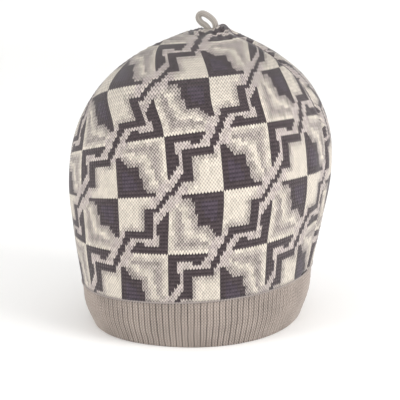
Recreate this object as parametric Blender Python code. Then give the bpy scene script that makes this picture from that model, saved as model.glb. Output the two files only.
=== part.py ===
"""A knitted beanie: a crown of two jacquard panels, a ribbed band and a hanging loop.

Metres, +Z up. The origin lies in the middle of the rim, on the surface that the cap rests on.
The front faces -Y. The seam between the two panels runs from side to side, along X.
"""

from collections import namedtuple
from math import cos, radians, sin, tau

import bmesh
import bpy
import numpy as np

# The whole cap
BAND_HEIGHT = 0.0335
CROWN_HEIGHT = 0.1800
RIM_HALF_WIDTH = 0.0747
RIM_HALF_DEPTH = 0.0896
CROWN_HALF_WIDTH = 0.0943
CROWN_HALF_DEPTH = 0.1018
PEAK_ASIDE = 0.0070
PEAK_BACK = 0.0070
# The border between crown and band climbs by this much at the right side and drops by it at the left.
BORDER_RISE = 0.0040
# The exponent of the oval sections: 2 is an ellipse, and more is squarer.
OVAL_FULLNESS = 2.15
# How far the band swells out halfway up, past a straight line from its rim to its border.
BAND_SWELL = 0.0022

# Walls, and the gap that keeps two pieces apart
CROWN_WALL = 0.0022
BAND_WALL = 0.0028
PIECE_GAP = 0.0003

# Ribs of the band
RIB_PITCH = 0.0021
RIB_DEPTH = 0.0006

# The sewn seam over the crown: a valley, with a soft roll of cloth on either side
SEAM_DEPTH = 0.0009
SEAM_REACH = 0.0022
ROLL_HEIGHT = 0.0007
ROLL_OFFSET = 0.0075
ROLL_REACH = 0.0035

# The hanging loop
LOOP_CORD = 0.0043
LOOP_LENGTH = 0.0102
LOOP_HEIGHT = 0.0114
LOOP_ASIDE = 0.0012

# How fine the faceted solids are
STEPS_PER_ROW = 60
CROWN_RINGS = 22
# Over 1, the rings lie closer together towards the peak.
RING_CROWDING = 1.4
RIBS_PER_INNER_FACE = 2
LOOP_SIDES_SETTING = 3

Section = namedtuple("Section", "height half_width half_depth")
# From the border with the band to the peak, as shares of the crown's height, half width and half depth.
SECTIONS = (
    Section(0.000, 0.880, 0.963),
    Section(0.208, 0.951, 0.986),
    Section(0.404, 1.000, 1.000),
    Section(0.600, 0.965, 0.948),
    Section(0.772, 0.801, 0.771),
    Section(0.893, 0.535, 0.490),
    Section(0.970, 0.240, 0.215),
    Section(1.000, 0.000, 0.000),
)

Fold = namedtuple("Fold", "name turn height wide tall out")
# Soft folds and dents of the crown. turn is in degrees from the right side, negative to the front. height and tall
# are shares of the crown's height, wide is degrees to either side, and out is a share of the crown's wall.
FOLDS = (
    Fold("fold in front of the right seam", -14.0, 0.45, 5.0, 0.30, 0.60),
    Fold("fold behind the right seam", 15.0, 0.42, 7.0, 0.30, 0.35),
    Fold("fold in front of the left seam", -169.0, 0.40, 5.0, 0.26, 0.45),
    Fold("slack at the front left", -128.0, 0.16, 16.0, 0.10, 0.50),
    Fold("slack at the front right", -52.0, 0.14, 14.0, 0.09, 0.45),
    Fold("hollow over the left brow", -140.0, 0.64, 17.0, 0.13, -0.55),
    Fold("slack at the back", 100.0, 0.15, 20.0, 0.10, 0.60),
    Fold("hollow at the back", 70.0, 0.60, 20.0, 0.12, -0.60),
)

Pucker = namedtuple("Pucker", "name aside back reach rise")
# Bumps and dips at the peak, in loop cord diameters from the peak along X and Y.
PUCKERS = (
    Pucker("bump right of the loop", 2.15, -0.10, 1.30, 1.20),
    Pucker("dip under the loop", 0.10, 0.00, 1.00, -0.14),
    Pucker("bump left of the loop", -3.40, 0.20, 1.60, 0.10),
)

LoopPoint = namedtuple("LoopPoint", "aside up")
# The cord's middle line from one end to the other, as shares of the loop's length and height.
LOOP_ROUTE = (
    LoopPoint(-0.50, 0.26),
    LoopPoint(-0.80, 0.42),
    LoopPoint(-1.00, 0.67),
    LoopPoint(-0.94, 0.91),
    LoopPoint(-0.66, 1.00),
    LoopPoint(-0.26, 0.85),
    LoopPoint(0.08, 0.60),
    LoopPoint(0.25, 0.33),
)
LEG_ASIDE = 0.235

Look = namedtuple("Look", "colour roughness")
JACQUARD = Look((0.52, 0.49, 0.45, 1.0), 0.90)
RIB_KNIT = Look((0.39, 0.34, 0.31, 1.0), 0.92)
LOOP_KNIT = Look((0.38, 0.35, 0.32, 1.0), 0.88)


def clear_scene():
    for thing in list(bpy.data.objects):
        bpy.data.objects.remove(thing, do_unlink=True)


def through(rows, steps):
    """Points on a smooth curve through the rows, with the given number of steps between two rows."""
    rows = np.array(rows, float)
    before = 2 * rows[0] - rows[1]
    after = 2 * rows[-1] - rows[-2]
    knots = np.vstack([before, rows, after])
    points = [rows[0]]
    for start in range(len(rows) - 1):
        a, b, c, d = knots[start : start + 4]
        for step in range(1, steps + 1):
            t = step / steps
            bend = (2 * a - 5 * b + 4 * c - d) * t**2 + (3 * b - a - 3 * c + d) * t**3
            points.append(b + 0.5 * ((c - a) * t + bend))
    return np.array(points)


def cap_profile():
    """Height, half width and half depth from the rim to the peak, with the length run along it."""
    border_width = SECTIONS[0].half_width * CROWN_HALF_WIDTH
    border_depth = SECTIONS[0].half_depth * CROWN_HALF_DEPTH
    middle_width = (RIM_HALF_WIDTH + border_width) / 2 + BAND_SWELL
    middle_depth = (RIM_HALF_DEPTH + border_depth) / 2 + BAND_SWELL
    rows = [(0.0, RIM_HALF_WIDTH, RIM_HALF_DEPTH), (BAND_HEIGHT / 2, middle_width, middle_depth)]
    for section in SECTIONS:
        height = BAND_HEIGHT + section.height * CROWN_HEIGHT
        rows.append((height, section.half_width * CROWN_HALF_WIDTH, section.half_depth * CROWN_HALF_DEPTH))
    points = through(rows, STEPS_PER_ROW)
    steps = np.linalg.norm(np.diff(points, axis=0), axis=1)
    return points, np.concatenate([[0.0], np.cumsum(steps)])


PROFILE, RUN = cap_profile()
BORDER_RUN = RUN[2 * STEPS_PER_ROW]
PEAK_RUN = RUN[-1]


def form(run, turn):
    """A point of the smooth outer form and the direction out of it, at a run up the profile and a turn in radians."""
    height, half_width, half_depth = (np.interp(run, RUN, PROFILE[:, i]) for i in range(3))
    step = PEAK_RUN / 1000
    low, high = max(run - step, 0.0), min(run + step, PEAK_RUN)
    climb, wider, deeper = (np.interp(high, RUN, PROFILE[:, i]) - np.interp(low, RUN, PROFILE[:, i]) for i in range(3))
    share = np.clip((height - BAND_HEIGHT) / CROWN_HEIGHT, 0.0, 1.0)
    along, across = cos(turn), sin(turn)
    power = 2 / OVAL_FULLNESS
    x = np.sign(along) * abs(along) ** power
    y = np.sign(across) * abs(across) ** power
    border = min(height / BAND_HEIGHT, 1.0) * (1.0 - share) ** 2
    point = np.array(
        (
            half_width * x + PEAK_ASIDE * share**2,
            half_depth * y + PEAK_BACK * share**2,
            height + BORDER_RISE * border * x,
        )
    )
    out_x = np.sign(x) * abs(x) ** (OVAL_FULLNESS - 1) / max(half_width, PIECE_GAP)
    out_y = np.sign(y) * abs(y) ** (OVAL_FULLNESS - 1) / max(half_depth, PIECE_GAP)
    level = np.hypot(out_x, out_y)
    lean = np.arctan2(-(wider * along**2 + deeper * across**2), climb)
    out = np.array((out_x / level * cos(lean), out_y / level * cos(lean), sin(lean)))
    return point, out


def bell(distance, reach):
    return np.exp(-((distance / reach) ** 2))


def crown_relief(point, share, turn, seam_y):
    """How far the seam's rolls, the folds and the puckers move the cloth outwards."""
    away = abs(point[1] - seam_y)
    relief = ROLL_HEIGHT * bell(away - ROLL_OFFSET, ROLL_REACH)
    settled = 1.0 - bell(share, 0.06)
    for fold in FOLDS:
        aside = np.degrees(turn) - fold.turn
        relief += fold.out * CROWN_WALL * bell(aside, fold.wide) * bell(share - fold.height, fold.tall) * settled
    for pucker in PUCKERS:
        from_x = point[0] - PEAK_ASIDE - pucker.aside * LOOP_CORD
        from_y = point[1] - PEAK_BACK - pucker.back * LOOP_CORD
        near = bell(np.hypot(from_x, from_y), pucker.reach * LOOP_CORD)
        relief += pucker.rise * LOOP_CORD * near * bell(1.0 - share, 0.25)
    return relief


def crown_point(run, turn, side):
    """The outer and inner points of a panel's cloth. side is -1 for the front panel and 1 for the back one."""
    point, out = form(run, turn)
    share = np.clip((point[2] - BAND_HEIGHT) / CROWN_HEIGHT, 0.0, 1.0)
    seam_y = PEAK_BACK * share**2
    valley = SEAM_DEPTH * bell(abs(point[1] - seam_y), SEAM_REACH)
    relief = crown_relief(point, share, turn, seam_y)
    outer = point + out * (relief - valley)
    inner = point + out * (relief - CROWN_WALL)
    for cloth in (outer, inner):
        cloth[1] = side * max(side * cloth[1], side * seam_y + PIECE_GAP / 2)
    return outer, inner


def panel_turns(side):
    """Turns from one end of a panel to the other, close together beside the seam."""
    near_seam = (0.0, 0.9, 1.9, 3.2, 5.0, 7.4, 10.8)
    middle = np.linspace(16.0, 90.0, 10)
    quarter = list(near_seam) + list(middle)
    half = quarter + [180.0 - turn for turn in reversed(quarter[:-1])]
    return [side * radians(turn) for turn in half]


def face_between(bm, lower, upper, outwards):
    """Quads between two rows of vertices of the same length."""
    for i in range(len(lower) - 1):
        corners = [lower[i], lower[i + 1], upper[i + 1], upper[i]]
        bm.faces.new(corners if outwards else corners[::-1])


def finish(name, bm, look):
    """Turns a closed mesh into a named object with its own material."""
    bmesh.ops.recalc_face_normals(bm, faces=bm.faces)
    mesh = bpy.data.meshes.new(name)
    bm.to_mesh(mesh)
    bm.free()
    mesh.shade_smooth()
    mesh.set_sharp_from_angle(angle=radians(40))
    piece = bpy.data.objects.new(name, mesh)
    bpy.context.scene.collection.objects.link(piece)
    give_material(piece, name, look)
    return piece


def give_material(piece, name, look):
    material = bpy.data.materials.new(name + "_knit")
    material.use_nodes = True
    shader = material.node_tree.nodes["Principled BSDF"]
    shader.inputs["Base Color"].default_value = look.colour
    shader.inputs["Roughness"].default_value = look.roughness
    shader.inputs["Metallic"].default_value = 0.0
    piece.data.materials.append(material)


def make_panel(name, side):
    """Half of the crown: a shell from the border with the band to the peak, closed along the seam."""
    bm = bmesh.new()
    turns = panel_turns(side)
    last_ring = PEAK_RUN - 2 * CROWN_WALL
    first_ring = BORDER_RUN + PIECE_GAP
    shares = 1.0 - (1.0 - np.linspace(0.0, 1.0, CROWN_RINGS)) ** RING_CROWDING
    runs = first_ring + shares * (last_ring - first_ring)
    outer_rows, inner_rows = [], []
    for run in runs:
        pairs = [crown_point(run, turn, side) for turn in turns]
        outer_rows.append([bm.verts.new(outer) for outer, inner in pairs])
        inner_rows.append([bm.verts.new(inner) for outer, inner in pairs])
    outer_peak, inner_peak = (bm.verts.new(point) for point in crown_point(PEAK_RUN, turns[0], side))

    for rows, outwards in ((outer_rows, True), (inner_rows, False)):
        for lower, upper in zip(rows, rows[1:]):
            face_between(bm, lower, upper, outwards)
    for row, peak in ((outer_rows[-1], outer_peak), (inner_rows[-1], inner_peak)):
        for i in range(len(turns) - 1):
            bm.faces.new((row[i], row[i + 1], peak))
    face_between(bm, outer_rows[0], inner_rows[0], False)
    for end in (0, -1):
        outer_edge = [row[end] for row in outer_rows] + [outer_peak]
        inner_edge = [row[end] for row in inner_rows] + [inner_peak]
        face_between(bm, outer_edge, inner_edge, end == 0)
    return finish(name, bm, JACQUARD)


def rib_columns():
    """How many columns of points go round the band: a ridge and a groove for each rib."""
    middle = [form(BORDER_RUN / 2, tau * i / 360)[0] for i in range(360)]
    round_it = sum(np.linalg.norm(a - b) for a, b in zip(middle, middle[1:] + middle[:1]))
    inner_faces = round(round_it / RIB_PITCH / RIBS_PER_INNER_FACE)
    return 2 * RIBS_PER_INNER_FACE * inner_faces


def even_turns(run, count):
    """Turns that divide the ring at this run into equal lengths."""
    fine = np.linspace(0.0, tau, 1441)
    points = np.array([form(run, turn)[0] for turn in fine])
    steps = np.linalg.norm(np.diff(points, axis=0), axis=1)
    length = np.concatenate([[0.0], np.cumsum(steps)])
    return np.interp(np.arange(count) / count * length[-1], length, fine)


def ring(items):
    return items + items[:1]


def make_band():
    """The ribbed band: grooves outside, a plain face inside, and a flat rim below."""
    bm = bmesh.new()
    columns = rib_columns()
    turns = even_turns(BORDER_RUN / 2, columns)
    outer_rows, inner_rows = [], []
    for run in (0.0, BORDER_RUN / 2, BORDER_RUN):
        outer = []
        for i, turn in enumerate(turns):
            point, out = form(run, turn)
            out[2] = 0.0
            outer.append(bm.verts.new(point - out * RIB_DEPTH * (i % 2)))
        outer_rows.append(ring(outer))
    per_face = 2 * RIBS_PER_INNER_FACE
    for run in (0.0, BORDER_RUN):
        inner = []
        for turn in turns[::per_face]:
            point, out = form(run, turn)
            out[2] = 0.0
            inner.append(bm.verts.new(point - out * BAND_WALL))
        inner_rows.append(ring(inner))

    for lower, upper in zip(outer_rows, outer_rows[1:]):
        face_between(bm, lower, upper, True)
    face_between(bm, inner_rows[0], inner_rows[1], False)
    for outer, inner in ((outer_rows[0], inner_rows[0]), (outer_rows[-1], inner_rows[1])):
        for i in range(len(inner) - 1):
            ridge_side = outer[i * per_face : (i + 1) * per_face + 1]
            bm.faces.new(ridge_side + [inner[i + 1], inner[i]])
    return finish("band", bm, RIB_KNIT)


def seam_top(x):
    """The height of the crown at a place along X over its seam."""
    best = -1.0
    for run in np.linspace(PEAK_RUN * 0.8, PEAK_RUN, 400):
        for turn in (0.0, radians(180)):
            outer, inner = crown_point(run, turn, -1)
            if abs(outer[0] - x) < PEAK_RUN / 400:
                best = max(best, outer[2])
    return best


def make_loop():
    """The hanging loop: one length of knitted cord, with both ends set on the seam."""
    root_x = PEAK_ASIDE + LOOP_ASIDE
    root_z = seam_top(root_x)
    legs = []
    for way in (-1, 1):
        x = root_x + way * max(LEG_ASIDE * LOOP_LENGTH, LOOP_CORD * 0.62)
        around = [seam_top(x + offset * LOOP_CORD) for offset in (-0.5, -0.25, 0.0, 0.25, 0.5)]
        beside = SEAM_DEPTH * (1.0 - bell(LOOP_CORD / 2, SEAM_REACH))
        beside += ROLL_HEIGHT * bell(LOOP_CORD / 2 - ROLL_OFFSET, ROLL_REACH)
        legs.append((x, max(around) + beside + PIECE_GAP))
    stubs = [(x, z + LOOP_CORD / 8) for x, z in legs]
    rows = [legs[0], stubs[0]]
    rows += [(root_x + point.aside * LOOP_LENGTH, root_z + point.up * LOOP_HEIGHT) for point in LOOP_ROUTE]
    rows += [stubs[1], legs[1]]
    route = through(rows, 4)

    cord = bpy.data.curves.new("hang_loop", "CURVE")
    cord.dimensions = "3D"
    cord.bevel_depth = LOOP_CORD / 2
    cord.bevel_resolution = LOOP_SIDES_SETTING
    cord.use_fill_caps = True
    spline = cord.splines.new("POLY")
    spline.points.add(len(route) - 1)
    for point, (x, z) in zip(spline.points, route):
        point.co = (x, PEAK_BACK, z, 1.0)
    loop = bpy.data.objects.new("hang_loop", cord)
    bpy.context.scene.collection.objects.link(loop)
    give_material(loop, "hang_loop", LOOP_KNIT)
    return loop


def main():
    clear_scene()
    make_panel("front_panel", -1)
    make_panel("back_panel", 1)
    make_band()
    make_loop()


main()
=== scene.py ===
# %% [markdown]
# # A knitted beanie, stitch by stitch
# The cap has a crown of two jacquard panels, a ribbed band and a small hanging loop. First the imported model
# is loaded as a fixed frame. The panels, the band and the loop made here take the places of its solids.

# %% Load the frame
from math import cos, pi, radians, sin, tau

import bmesh
import bpy
import numpy as np
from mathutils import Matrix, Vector


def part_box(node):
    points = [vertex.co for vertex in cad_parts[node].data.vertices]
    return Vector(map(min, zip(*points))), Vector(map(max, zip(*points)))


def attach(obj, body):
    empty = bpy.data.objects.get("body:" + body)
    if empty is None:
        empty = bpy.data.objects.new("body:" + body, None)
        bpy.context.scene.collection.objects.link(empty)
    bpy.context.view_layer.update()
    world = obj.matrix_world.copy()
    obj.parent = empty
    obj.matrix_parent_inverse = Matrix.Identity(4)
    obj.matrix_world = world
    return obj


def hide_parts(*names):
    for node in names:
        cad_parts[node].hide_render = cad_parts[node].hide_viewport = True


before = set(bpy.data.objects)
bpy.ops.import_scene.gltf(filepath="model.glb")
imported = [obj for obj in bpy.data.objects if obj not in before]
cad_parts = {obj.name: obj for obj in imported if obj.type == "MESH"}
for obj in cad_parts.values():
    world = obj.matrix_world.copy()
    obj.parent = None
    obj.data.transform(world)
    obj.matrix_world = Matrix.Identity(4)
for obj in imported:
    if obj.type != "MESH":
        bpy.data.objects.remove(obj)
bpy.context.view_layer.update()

# %% [markdown]
# ## Camera
# The photograph was taken from nearly straight in front, a little to the right and a little above. A long
# lens far away keeps the cap's sides nearly parallel, as they are in the picture.


# %% Camera
def add_object(name, data):
    """A new object in the scene, at the origin."""
    thing = bpy.data.objects.new(name, data)
    bpy.context.scene.collection.objects.link(thing)
    return thing


VIEW_TURN = radians(17.0)
VIEW_RISE = radians(12.7)
VIEW_DISTANCE = 1.3
AIM_ASIDE = 0.0012
AIM_HEIGHT = 0.0863
LENS_PER_SENSOR = 1755 / 400

view = bpy.data.cameras.new("view")
view.sensor_width = 36.0
view.lens = 36.0 * LENS_PER_SENSOR
camera = add_object("view", view)
level_share = cos(VIEW_RISE)
toward_camera = Vector((sin(VIEW_TURN) * level_share, -cos(VIEW_TURN) * level_share, sin(VIEW_RISE)))
aim = Vector((cos(VIEW_TURN) * AIM_ASIDE, sin(VIEW_TURN) * AIM_ASIDE, AIM_HEIGHT))
camera.location = aim + toward_camera * VIEW_DISTANCE
camera.rotation_euler = toward_camera.to_track_quat("Z", "Y").to_euler()
bpy.context.scene.camera = camera
print("camera at", tuple(round(x, 3) for x in camera.location))

# %% [markdown]
# ## Floor and light
# A pale floor that curves up behind the cap gives a plain studio background. Wool looks best in broad, soft
# light: one large lamp in front and to the left, another farther off on the right, and a bright surround.

# %% Floor and light
BEND_STEPS = 16
LAMP_TARGET = Vector((0.0, 0.0, 0.1))


def pale_material(name, colour):
    material = bpy.data.materials.new(name)
    material.use_nodes = True
    shader = material.node_tree.nodes["Principled BSDF"]
    shader.inputs["Base Color"].default_value = colour
    shader.inputs["Roughness"].default_value = 0.9
    shader.inputs["Specular IOR Level"].default_value = 0.1
    return material


def add_floor(half_width, front, back, bend_radius, rise):
    """A sheet that lies flat under the cap and bends up behind it."""
    profile = [(-front, 0.0)]
    for step in range(BEND_STEPS + 1):
        angle = step / BEND_STEPS * pi / 2
        profile.append((back + sin(angle) * bend_radius, (1 - cos(angle)) * bend_radius))
    profile.append((back + bend_radius, rise))
    bm = bmesh.new()
    rows = [[bm.verts.new((x, y, z)) for x in (-half_width, half_width)] for y, z in profile]
    for lower, upper in zip(rows, rows[1:]):
        bm.faces.new((lower[0], lower[1], upper[1], upper[0]))
    mesh = bpy.data.meshes.new("floor")
    bm.to_mesh(mesh)
    bm.free()
    mesh.shade_smooth()
    mesh.materials.append(pale_material("pale_floor", (0.97, 0.968, 0.962, 1.0)))
    return add_object("floor", mesh)


add_floor(half_width=4.0, front=7.0, back=1.2, bend_radius=0.8, rise=3.0)


def add_lamp(name, place, size, power, colour):
    lamp = bpy.data.lights.new(name, "AREA")
    lamp.shape = "DISK"
    lamp.size = size
    lamp.energy = power
    lamp.color = colour
    thing = add_object(name, lamp)
    thing.location = place
    thing.rotation_euler = (Vector(place) - LAMP_TARGET).to_track_quat("Z", "Y").to_euler()


add_lamp("key", (-1.1, -1.4, 0.60), 1.0, 17.0, (1.0, 0.99, 0.97))
add_lamp("fill", (1.6, -0.5, 0.75), 1.2, 25.0, (1.0, 0.99, 0.98))

SURROUND = 0.83
world = bpy.data.worlds.new("studio")
bpy.context.scene.world = world
world.use_nodes = True
world.node_tree.nodes["Background"].inputs["Color"].default_value = (1.0, 1.0, 1.0, 1.0)
world.node_tree.nodes["Background"].inputs["Strength"].default_value = SURROUND
bpy.context.scene.view_settings.view_transform = "Standard"
print("lamps", [lamp.name for lamp in bpy.data.lights], "surround", SURROUND)

# %% [markdown]
# ## The shape of the cap
# The cap's outer form is a stack of rounded ovals, and one table says how wide and deep the oval is at each
# height. It could be sculpted, but a table is easier to fit to a picture. A smooth curve runs through its
# rows. Any place on the form is found from two numbers, the **run** up the side from the rim and the
# **turn** round the oval. Whole arrays of places are worked out at once, because the knit needs tens of
# thousands of them.

# %% Shape of the cap
BAND_HEIGHT = 0.0335
CROWN_HEIGHT = 0.1800
RIM_HALF_WIDTH = 0.0747
RIM_HALF_DEPTH = 0.0896
CROWN_HALF_WIDTH = 0.0943
CROWN_HALF_DEPTH = 0.1018
PEAK_ASIDE = 0.0070
PEAK_BACK = 0.0070
BORDER_RISE = 0.0040
OVAL_FULLNESS = 2.15
BAND_SWELL = 0.0022
CROWN_WALL = 0.0022
BAND_WALL = 0.0028
PIECE_GAP = 0.0003

# Height, half width and half depth of the crown's ovals, as shares of the crown's own.
SECTIONS = (
    (0.000, 0.880, 0.963),
    (0.208, 0.951, 0.986),
    (0.404, 1.000, 1.000),
    (0.600, 0.965, 0.948),
    (0.772, 0.801, 0.771),
    (0.893, 0.535, 0.490),
    (0.970, 0.240, 0.215),
    (1.000, 0.000, 0.000),
)
STEPS_PER_ROW = 60


def through(rows, steps):
    """Points on a smooth curve through the rows, with the given number of steps between two rows."""
    rows = np.array(rows, float)
    knots = np.vstack([2 * rows[0] - rows[1], rows, 2 * rows[-1] - rows[-2]])
    points = [rows[0]]
    for start in range(len(rows) - 1):
        a, b, c, d = knots[start : start + 4]
        for step in range(1, steps + 1):
            t = step / steps
            bend = (2 * a - 5 * b + 4 * c - d) * t**2 + (3 * b - a - 3 * c + d) * t**3
            points.append(b + 0.5 * ((c - a) * t + bend))
    return np.array(points)


def length_along(points):
    """How far along a line of points each of them lies."""
    return np.concatenate([[0.0], np.cumsum(np.linalg.norm(np.diff(points, axis=0), axis=1))])


def cap_profile():
    """Height, half width and half depth from the rim to the peak, with the run along it."""
    border_width = SECTIONS[0][1] * CROWN_HALF_WIDTH
    border_depth = SECTIONS[0][2] * CROWN_HALF_DEPTH
    middle_width = (RIM_HALF_WIDTH + border_width) / 2 + BAND_SWELL
    middle_depth = (RIM_HALF_DEPTH + border_depth) / 2 + BAND_SWELL
    rows = [(0.0, RIM_HALF_WIDTH, RIM_HALF_DEPTH), (BAND_HEIGHT / 2, middle_width, middle_depth)]
    for height, half_width, half_depth in SECTIONS:
        level = BAND_HEIGHT + height * CROWN_HEIGHT
        rows.append((level, half_width * CROWN_HALF_WIDTH, half_depth * CROWN_HALF_DEPTH))
    points = through(rows, STEPS_PER_ROW)
    return points, length_along(points)


PROFILE, RUN = cap_profile()
BORDER_RUN = RUN[2 * STEPS_PER_ROW]
PEAK_RUN = RUN[-1]


def signed_power(x, power):
    return np.sign(x) * np.abs(x) ** power


def profile_at(run):
    """Height, half width and half depth of the oval at each run."""
    return np.array([np.interp(run, RUN, column) for column in PROFILE.T])


def crown_share(height):
    """How far up the crown a height is: 0 at the border and 1 at the peak."""
    return np.clip((height - BAND_HEIGHT) / CROWN_HEIGHT, 0.0, 1.0)


def form(run, turn):
    """Points of the smooth outer form, and the ways out of it. Turn is in radians from the right side."""
    height, half_width, half_depth = profile_at(run)
    step = PEAK_RUN / 1000
    above, below = np.minimum(run + step, PEAK_RUN), np.maximum(run - step, 0.0)
    climb, wider, deeper = profile_at(above) - profile_at(below)
    share = crown_share(height)
    along, across = np.cos(turn), np.sin(turn)
    x = signed_power(along, 2 / OVAL_FULLNESS)
    y = signed_power(across, 2 / OVAL_FULLNESS)
    border = np.minimum(height / BAND_HEIGHT, 1.0) * (1.0 - share) ** 2
    points = np.stack(
        [
            half_width * x + PEAK_ASIDE * share**2,
            half_depth * y + PEAK_BACK * share**2,
            height + BORDER_RISE * border * x,
        ],
        axis=-1,
    )
    out_x = signed_power(x, OVAL_FULLNESS - 1) / np.maximum(half_width, PIECE_GAP)
    out_y = signed_power(y, OVAL_FULLNESS - 1) / np.maximum(half_depth, PIECE_GAP)
    level = np.hypot(out_x, out_y)
    lean = np.arctan2(-(wider * along**2 + deeper * across**2), climb)
    out = np.stack([out_x / level * np.cos(lean), out_y / level * np.cos(lean), np.sin(lean)], axis=-1)
    return points, out


print("run to the border %.1f mm, to the peak %.1f mm" % (BORDER_RUN * 1e3, PEAK_RUN * 1e3))

# %% [markdown]
# Cloth is never as smooth as its form. The sewn seam from side to side draws the cloth in and makes a soft
# roll beside it, a few folds and puckers show where the crown is slack, and fine gathers run out from the
# peak. A cloth simulation could make them, but not where the picture has them. So each fold is a small
# bell-shaped rise or dip in a table, and the gathers are one wave round the peak.

# %% Folds, puckers and seam
SEAM_DEPTH = 0.0009
SEAM_REACH = 0.0022
ROLL_HEIGHT = 0.0007
ROLL_OFFSET = 0.0075
ROLL_REACH = 0.0035
LOOP_CORD = 0.0043

# Turn in degrees, height as a share of the crown's, reach round in degrees, reach up as a share, and rise in
# thicknesses of the wall.
FOLDS = (
    (-14.0, 0.45, 5.0, 0.30, 0.60),
    (15.0, 0.42, 7.0, 0.30, 0.35),
    (-169.0, 0.40, 5.0, 0.26, 0.45),
    (-128.0, 0.16, 16.0, 0.10, 0.50),
    (-52.0, 0.14, 14.0, 0.09, 0.45),
    (-140.0, 0.64, 17.0, 0.13, -0.55),
    (100.0, 0.15, 20.0, 0.10, 0.60),
    (70.0, 0.60, 20.0, 0.12, -0.60),
)
# Place beside and behind the peak, reach and rise, all in diameters of the loop's cord.
PUCKERS = (
    (2.15, -0.10, 1.30, 1.20),
    (0.10, 0.00, 1.00, -0.14),
    (-3.40, 0.20, 1.60, 0.10),
)
# How many gathers there are, how deep they are, and how far from the peak they are deepest.
GATHERS = 11
GATHER_DEPTH = 0.0009
GATHER_REACH = 0.011


def bell(distance, reach):
    return np.exp(-((distance / reach) ** 2))


def cloth_places(run, turn, side, lift):
    """Places on a panel's cloth, lifted from its face. Side is -1 in front of the seam and 1 behind it."""
    points, out = form(run, turn)
    share = crown_share(points[..., 2])
    seam_y = PEAK_BACK * share**2
    away = np.abs(points[..., 1] - seam_y)
    relief = ROLL_HEIGHT * bell(away - ROLL_OFFSET, ROLL_REACH) - SEAM_DEPTH * bell(away, SEAM_REACH)
    settled = 1.0 - bell(share, 0.06)
    for fold_turn, height, wide, tall, rise in FOLDS:
        aside = np.degrees(turn) - fold_turn
        relief = relief + rise * CROWN_WALL * bell(aside, wide) * bell(share - height, tall) * settled
    from_peak_x, from_peak_y = points[..., 0] - PEAK_ASIDE, points[..., 1] - PEAK_BACK
    for aside, back, reach, rise in PUCKERS:
        away = np.hypot(from_peak_x - aside * LOOP_CORD, from_peak_y - back * LOOP_CORD)
        relief = relief + rise * LOOP_CORD * bell(away, reach * LOOP_CORD) * bell(1.0 - share, 0.25)
    spoke = np.arctan2(from_peak_y, from_peak_x)
    gather = np.sin(GATHERS * spoke + 3.0 * np.sin(2.0 * spoke + 1.0))
    from_peak = np.hypot(from_peak_x, from_peak_y)
    gathered = bell(from_peak - GATHER_REACH, GATHER_REACH) * bell(1.0 - share, 0.2)
    relief = relief + GATHER_DEPTH * gather * gathered
    places = points + out * (relief + lift)[..., None]
    places[..., 1] = side * np.maximum(side * places[..., 1], side * seam_y + PIECE_GAP / 2)
    return places


print("folds", len(FOLDS), "puckers", len(PUCKERS), "gathers", GATHERS)

# %% [markdown]
# ## The knitted cloth
# A knitted panel is a grid of stitches: columns called **wales** and rows called **courses**. Cut and sewn
# to a dome, the grid bends. Wales stay nearly upright but drift a little aside, and courses droop towards
# the seam near the top. An unwrapped texture would cut the pattern at its own seams. So we write down where
# each place of the form lies in the flat cloth, and then turn that round with Newton's method: for each
# stitch corner of the cloth we ask where on the dome it went.

# %% Rings of the dome
TABLE_RUNS = np.linspace(BORDER_RUN, PEAK_RUN - 0.0005, 140)
TABLE_SHARES = np.linspace(-1.0, 1.0, 181)


def ring_tables(side):
    """For rings up the crown: half the panel's width along the cloth, and the turn at even shares of it."""
    fine = np.linspace(-90.0, 90.0, 361)
    widths, turns = [], []
    for run in TABLE_RUNS:
        ring = form(np.full(fine.shape, run), side * np.radians(90.0 - fine))[0]
        length = length_along(ring)
        widths.append(length[-1] / 2)
        turns.append(np.interp(TABLE_SHARES, 2 * length / length[-1] - 1, fine))
    return np.array(widths), np.array(turns)


def look_up(table, run, share):
    """A value between the rows and columns of a ring table."""
    row = np.interp(run, TABLE_RUNS, np.arange(len(TABLE_RUNS)))
    column = np.interp(share, TABLE_SHARES, np.arange(len(TABLE_SHARES)))
    row, column = np.minimum(row, len(TABLE_RUNS) - 1.001), np.minimum(column, len(TABLE_SHARES) - 1.001)
    i, j = row.astype(int), column.astype(int)
    a, b = row - i, column - j
    lower = table[i, j] * (1 - b) + table[i, j + 1] * b
    upper = table[i + 1, j] * (1 - b) + table[i + 1, j + 1] * b
    return lower * (1 - a) + upper * a


# %% [markdown]
# A panel is rounded over at the peak, so near it the wales run straight across and don't fan out from one
# point. The class below holds one panel's lie and answers both ways, from the dome to the stitch and back.

# %% Where the cloth lies on the dome
# How near to the peak the wales stop fanning out from it, and their spread and the courses' sag fade out.
PEAK_REACH = 0.06
SPREAD_REACH = 0.06
SAG_REACH = 0.09
# Newton's method: how often it tries, how far it may move a corner at once, and how far it feels its way.
TRIES = 40
LONGEST_STEP = 0.008
SMALL_STEP = 1e-5
# Steps of the smooth curve between two rows of a lie's table.
STEPS_PER_LIE = 20


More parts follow.
